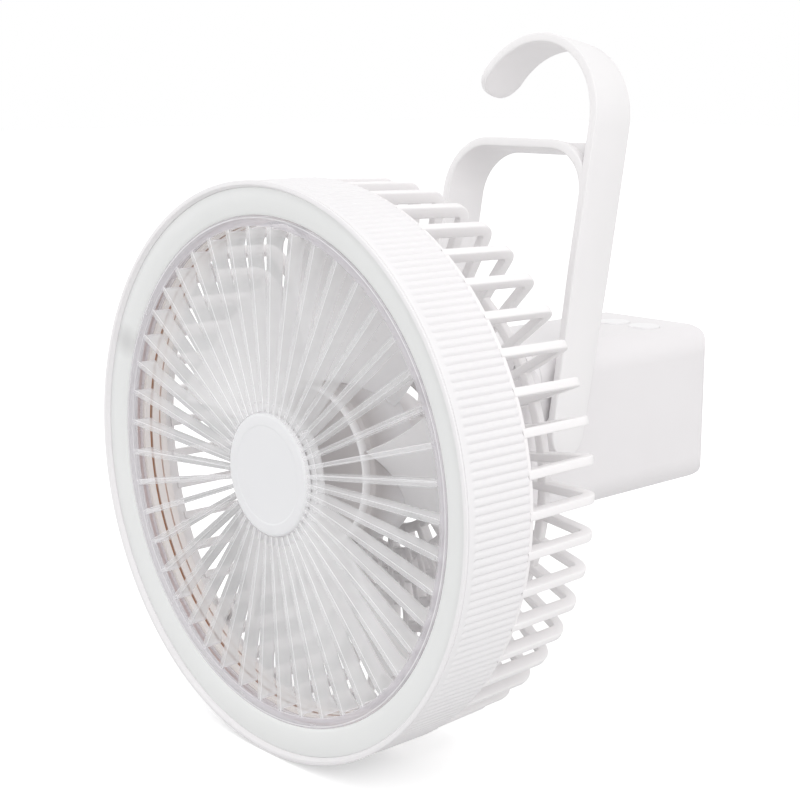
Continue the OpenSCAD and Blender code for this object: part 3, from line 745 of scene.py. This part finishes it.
# ---- Bail with hook -------------------------------------------------------------------------------
LEAN = math.radians(10.4)
STRAP_T = 3.5
STRAP_HALF = 9.85
STRAP_EDGE = 0.65
FOOT_HALF = 8.5
WIDE_H = 60.0
BAR_H = 107.3
BEND_R = 20.5
HOOK_H = 113.6
HOOK_OUT = 33.3
HOOK_TURN = 160
HOOK_STEP = 4
TIP_R = 9.0
WEB_HALF = 5.85
PIN_R = 4.5
PIN_GROOVE_R = 3.5
# How far inside the case the pin's clip sits
CLIP_IN = 3.2
BOSS_R = 8.0


def bail_point(x, d, h):
    """A point of the bail: x across, d back and h up the arms, leant back over its pivot."""
    return (PIVOT.x + x, PIVOT.y + d * math.cos(LEAN) + h * math.sin(LEAN),
            PIVOT.z - d * math.sin(LEAN) + h * math.cos(LEAN))


def half_width(h):
    """Half width of an arm at a height: narrow at its foot, then as wide as the strap."""
    return FOOT_HALF + (STRAP_HALF - FOOT_HALF) * min(1.0, max(0.0, h / WIDE_H))


def foot_stations(x, facing):
    """The round lower end of an arm, and its straight up to where it is full width."""
    stations = []
    for i in range(10):
        a = math.radians(6 + 84 * i / 9)
        stations.append((x, -FOOT_HALF * math.cos(a), facing, FOOT_HALF * math.sin(a)))
    heights = [WIDE_H * i / 3 for i in (1, 2, 3)]
    return stations + [(x, h, facing, half_width(h)) for h in heights]


def strap_rows(stations, narrower=0.0):
    """Rounded sections of the strap. A station is x, h, the way its outside faces and its half width."""
    thick = STRAP_T / 2
    rows = []
    for x, h, facing, half in stations:
        a = math.radians(facing)
        w = half - narrower
        section = rounded([(-thick, -w), (thick, -w), (thick, w), (-thick, w)], STRAP_EDGE)
        rows.append([bail_point(x + s * math.cos(a), d, h + s * math.sin(a)) for s, d in section])
    return rows


def hook_stations():
    """The hook's arc, narrowed round its free end."""
    middle = HOOK_OUT - STRAP_T / 2
    centre_x = BAIL_HALF - HOOK_OUT
    tip_turn = math.degrees(TIP_R / middle)
    turns = [a for a in range(0, HOOK_TURN, HOOK_STEP) if a < HOOK_TURN - tip_turn]
    turns += [HOOK_TURN - tip_turn * (1 - math.sin(math.radians(9 * i))) for i in range(11)]
    stations = []
    for turn in turns:
        a = math.radians(turn)
        left = max(0.0, TIP_R - middle * math.radians(HOOK_TURN - turn))
        half = STRAP_HALF - TIP_R + math.sqrt(max(0.0, TIP_R ** 2 - left ** 2))
        x = centre_x + middle * math.cos(a)
        stations.append((x, HOOK_H + middle * math.sin(a), turn, max(half, 1.2)))
    return stations


def arch_stations():
    """The left arm, the two upper corners and the bar between them."""
    bend = BEND_R - STRAP_T / 2
    corner_x = BAIL_HALF - BEND_R
    corner_h = BAR_H - BEND_R
    stations = foot_stations(STRAP_T / 2 - BAIL_HALF, 180)
    for x, first, last in ((-corner_x, 180, 90), (corner_x, 90, 4)):
        for i in range(15):
            turn = first + (last - first) * i / 14
            a = math.radians(turn)
            stations.append((x + bend * math.cos(a), corner_h + bend * math.sin(a), turn, STRAP_HALF))
    return stations


def web_rows():
    """The recessed web that fills the corner between the arch and the hook."""
    corner_x = BAIL_HALF - BEND_R
    corner_h = BAR_H - BEND_R
    top = BAR_H - 0.6
    outline = arc((corner_x, corner_h), BEND_R - 2.5, 90, 0, 14)
    outline += [(BAIL_HALF - 1, corner_h), (BAIL_HALF - 1, top), (corner_x, top)]
    return [[bail_point(x, d, h) for x, h in outline] for d in (-WEB_HALF, WEB_HALF)]


def pivot_rows(side):
    """Boss and grooved pin on the inside of one arm."""
    clip = CASE_HALF - CLIP_IN
    gap_x = CASE_HALF + 0.3
    root_x = BAIL_HALF - STRAP_T + 1
    pin = [(0, clip - 1), (PIN_R, clip - 1), (PIN_R, clip - 0.1), (PIN_GROOVE_R, clip - 0.1),
           (PIN_GROOVE_R, clip + 0.8), (PIN_R, clip + 0.8), (PIN_R, gap_x)]
    boss = [(BOSS_R - 0.4, gap_x), (BOSS_R, gap_x + 0.4), (BOSS_R, root_x), (0, root_x)]
    return spun(pin + boss, 64, lambda d, h, x: bail_point(side * x, d, h))


def build_bail(material):
    """The arm that ends in the hook, the arch, the web in their corner and the two pivots."""
    form = Form()
    form.loft(strap_rows(foot_stations(BAIL_HALF - STRAP_T / 2, 0) + hook_stations()))
    form.loft(strap_rows(arch_stations(), 0.06))
    form.loft(web_rows())
    for side in (-1, 1):
        form.loft(pivot_rows(side), ring=True)
    form.piece("hanging_bail", "bail", "white_plastic", material, "bail_handle")


# ---- Masks on the materials -----------------------------------------------------------------------
# Where the ends of the light strip meet behind the milky ring, and how far its patch of painted shade fades
SEAM_DEG = 157.0
SEAM_R = 92.5
SEAM_FADE = (1.5, 7.5)
# Radii between which the light board's raw edge fades out
BOARD_EDGE = (89.5, 89.9)
# Depths of the two amber lines of painted shade round the inner barrel, where its gaps and steps lie in
# shadow
AMBER_SHADE_LINE = (10.3, 11.3)
PALE_SHADE_LINE = (14.4, 15.0)
# Depths between which the impeller hub's darker grey and painted shade fade out
HUB_FADE = (27.0, 38.0)


def board_edge(tree):
    """The light board's raw inner edge, which shows through the grille's rim."""
    return span(tree, radius_and_depth(tree)[0], 1.0, 0.0, *BOARD_EDGE)


def seam_shade_mask(tree):
    """A soft patch of painted shade where the two ends of the light strip leave a gap behind the milky ring.
    """
    seam = add(tree, "ShaderNodeVectorMath")
    seam.operation = "DISTANCE"
    tree.links.new(coords(tree), seam.inputs[0])
    seam.inputs[1].default_value = Vector(head_point(SEAM_DEG, SEAM_R, 0.5)) * MM
    start, end = SEAM_FADE
    return span(tree, seam.outputs["Value"], 1.0, 0.0, start * MM, end * MM)


def barrel_shade_line(low, top):
    """A thin warm line of painted shade round the inner barrel between two depths."""
    def mask(tree):
        return between(tree, radius_and_depth(tree)[1], low, top, 0.15)
    return mask


def hub_grey_and_shade_mask(tree):
    """The impeller hub's face, darker for its own grey and for painted shade, and its shoulder in painted
    shade, either side of its bright rim.
    """
    radius, depth = radius_and_depth(tree)
    face = span(tree, radius, 1.0, 0.0, HUB_RIM_R - 1.3, HUB_RIM_R - 0.8)
    shoulder = between(tree, radius, HUB_RIM_R + 0.2, HUB_R + 0.3, 0.15)
    return both(tree, either(tree, face, shoulder), span(tree, depth, 1.0, 0.0, *HUB_FADE))


# ---- Floor, world, lamps and camera. Lengths are metres -------------------------------------------
WORLD_LIGHT = 0.88
FLOOR_HALF = 6.0
FLOOR_DROP = 0.0005
FLOOR_LOW = (0.76, 0.76, 0.76)
FLOOR_HIGH = (0.78, 0.78, 0.78)
# What the camera sees added to the lit floor, so that it reads white where no shadow falls
FLOOR_GLOW = 0.43
# Clear bars bend the view away from the white ground, so the world and floor seen through them are painted
# dimmer: painted shade
SHADE_BEHIND_CLEAR = 0.35
# Each lamp's name, direction, distance, size and power
LAMPS = (("key", (0.75, -0.4, 0.55), 1.3, 0.85, 4.1),
         ("top", (0.25, -0.1, 1.0), 1.4, 1.2, 2.6),
         ("fill", (-1.0, -0.6, 0.15), 1.4, 0.9, 2.7),
         ("side", (-1.0, 0.1, 0.45), 1.4, 0.9, 2.4))
FAN_MIDDLE = Vector((0, -0.12, 0.02))


def through_clear(tree, open_value, clear_value):
    """One number for rays that come straight, another for those that came through the clear grille."""
    path = tree.nodes.new("ShaderNodeLightPath")
    return span(tree, path.outputs["Transparent Depth"], open_value, clear_value)


def mix_shaders(tree, fac, first, second, output):
    """Sends a mix of two shaders to an output."""
    mix = tree.nodes.new("ShaderNodeMixShader")
    tree.links.new(fac, mix.inputs["Fac"])
    tree.links.new(first, mix.inputs[1])
    tree.links.new(second, mix.inputs[2])
    tree.links.new(mix.outputs[0], output)


def build_world():
    """Even white light, seen as plain white by camera, glossy and transmitted rays, and painted dimmer where
    seen through the clear grille.
    """
    world = bpy.data.worlds.new("studio")
    bpy.context.scene.world = world
    world.use_nodes = True
    tree = world.node_tree
    lit = tree.nodes["Background"]
    lit.inputs["Color"].default_value = (1, 1, 1, 1)
    lit.inputs["Strength"].default_value = WORLD_LIGHT
    path = tree.nodes.new("ShaderNodeLightPath")
    seen = either(tree, path.outputs["Is Camera Ray"], path.outputs["Is Glossy Ray"])
    seen = either(tree, seen, path.outputs["Is Transmission Ray"])
    plain = add(tree, "ShaderNodeBackground", Color=(1, 1, 1, 1))
    # Painted shade: the plain white is dimmed for rays that came through the clear grille
    tree.links.new(through_clear(tree, 1.0, SHADE_BEHIND_CLEAR), plain.inputs["Strength"])
    surface = tree.nodes["World Output"].inputs["Surface"]
    mix_shaders(tree, seen, lit.outputs[0], plain.outputs[0], surface)


def floor_material():
    """Pale matt floor that looks white where no shadow falls on it, and painted dimmer where seen through
    the clear grille.
    """
    mat, tree, shader = new_material("floor_white")
    tree.links.new(ramp(tree, noise(tree, 2.0), FLOOR_LOW, FLOOR_HIGH), shader.inputs["Base Color"])
    shader.inputs["Roughness"].default_value = 0.9
    shader.inputs["Emission Color"].default_value = (1, 1, 1, 1)
    camera_ray = tree.nodes.new("ShaderNodeLightPath").outputs["Is Camera Ray"]
    glow = math_node(tree, "MULTIPLY", camera_ray, FLOOR_GLOW)
    tree.links.new(glow, shader.inputs["Emission Strength"])
    dim = add(tree, "ShaderNodeEmission", Color=(1, 1, 1, 1), Strength=SHADE_BEHIND_CLEAR)
    # Seen through the clear grille, the floor shows as dim painted shade
    seen = both(tree, camera_ray, through_clear(tree, 0.0, 1.0))
    surface = tree.nodes["Material Output"].inputs["Surface"]
    mix_shaders(tree, seen, shader.outputs[0], dim.outputs[0], surface)
    return mat


def build_floor():
    """A square floor just under the fan."""
    z = CAD_BOX[0].z - FLOOR_DROP
    half = FLOOR_HALF
    corners = [(-half, -half, z), (half, -half, z), (half, half, z), (-half, half, z)]
    mesh = bpy.data.meshes.new("floor")
    mesh.from_pydata(corners, [], [(0, 1, 2, 3)])
    mesh.materials.append(floor_material())
    floor = bpy.data.objects.new("floor", mesh)
    bpy.context.scene.collection.objects.link(floor)


def area_light(name, towards, distance, size, power):
    """A soft round lamp that looks at the fan's middle from a direction."""
    data = bpy.data.lights.new(name, "AREA")
    data.shape = "DISK"
    data.size = size
    data.energy = power
    lamp = bpy.data.objects.new(name, data)
    bpy.context.scene.collection.objects.link(lamp)
    away = Vector(towards).normalized()
    lamp.location = FAN_MIDDLE + away * distance
    lamp.rotation_euler = (-away).to_track_quat("-Z", "Y").to_euler()


def build_camera():
    """The photograph's camera."""
    data = bpy.data.cameras.new("camera")
    data.sensor_width = SENSOR
    data.lens = CAMERA_LENS
    camera = bpy.data.objects.new("camera", data)
    bpy.context.scene.collection.objects.link(camera)
    camera.location = CAMERA_AT
    level = math.cos(CAMERA_EL)
    look = Vector((-math.sin(CAMERA_AZ) * level, math.cos(CAMERA_AZ) * level, -math.sin(CAMERA_EL)))
    camera.rotation_euler = look.to_track_quat("-Z", "Y").to_euler()
    bpy.context.scene.camera = camera


# ---- The pieces -----------------------------------------------------------------------------------
white = plastic("white_plastic", WHITE)
build_ring(white)
# The milky ring carries a patch of painted shade where the light strip's ends meet
build_light(plastic("milky_plastic", MILKY, rough=0.3, marks=[(seam_shade_mask, MILKY_SEAM_SHADE)]))
build_grille(clear_plastic("clear_plastic"))
build_cap(plastic("cap_plastic", CAP_WHITE, rough=0.34))
build_cage(plastic("cage_plastic", CAGE_WHITE))
# The blades' material paints the hub's face and shoulder darker: partly its own grey, partly painted shade
build_impeller(plastic("blade_plastic", BLADE, rough=0.3, marks=[(hub_grey_and_shade_mask, HUB_GREY_AND_SHADE)]))
build_bail(plastic("bail_plastic", BAIL_WHITE))

buttons = plastic("button_plastic", BUTTON_WHITE, rough=0.3)
for use in ("fan", "light", "timer"):
    build_button(use + "_push_cap", use + "_button", use + "_key", buttons)

# ---- Materials on the CAD nodes that stay ---------------------------------------------------------
# Thin warm lines of painted shade where gaps and steps in the inner barrel lie in shadow
barrel_shade_lines = [(barrel_shade_line(*AMBER_SHADE_LINE), AMBER), (barrel_shade_line(*PALE_SHADE_LINE), PALE_AMBER_SHADE)]
assign(plastic("case_plastic", CASE_WHITE), "battery_case", "case_cover")
assign(white, "tilt_yoke")
assign(plastic("inner_plastic", DUCT, marks=barrel_shade_lines), "air_duct")
assign(plastic("motor_plastic", MOTOR_GREY), "motor_base")
assign(plastic("light_board", BOARD_WHITE, marks=[(board_edge, AMBER)]), "led_board")
assign(plastic("light_chip", CHIP_YELLOW), "led_chips")
assign(plastic("dark_washer", DARK_NYLON), "tilt_washers", "cell_holders", "tact_switches")
assign(plastic("circuit_board", BOARD_GREEN), "main_board", "motor_board", "button_board")
assign(plastic("lens_plastic", LENS_GREEN), "charge_lens")
assign(plastic("cell_sleeve", SLEEVE_BLUE), "battery_cells")
assign(metal("steel", STEEL, 0.3), "cage_screws", "hub_screws", "cover_screws", "tilt_pin", "tilt_nut",
       "motor_shaft", "motor_bearings", "shaft_clip", "pivot_clips", "usb_port")
assign(metal("motor_steel", MOTOR_STEEL, 0.4), "rotor_cup", "stator_core")
assign(metal("copper_wire", COPPER, 0.35), "stator_windings")
assign(plastic("magnet", MAGNET_BLACK), "magnet_ring")

build_world()
build_floor()
for lamp in LAMPS:
    area_light(*lamp)
build_camera()
bpy.context.scene.view_settings.view_transform = "Standard"
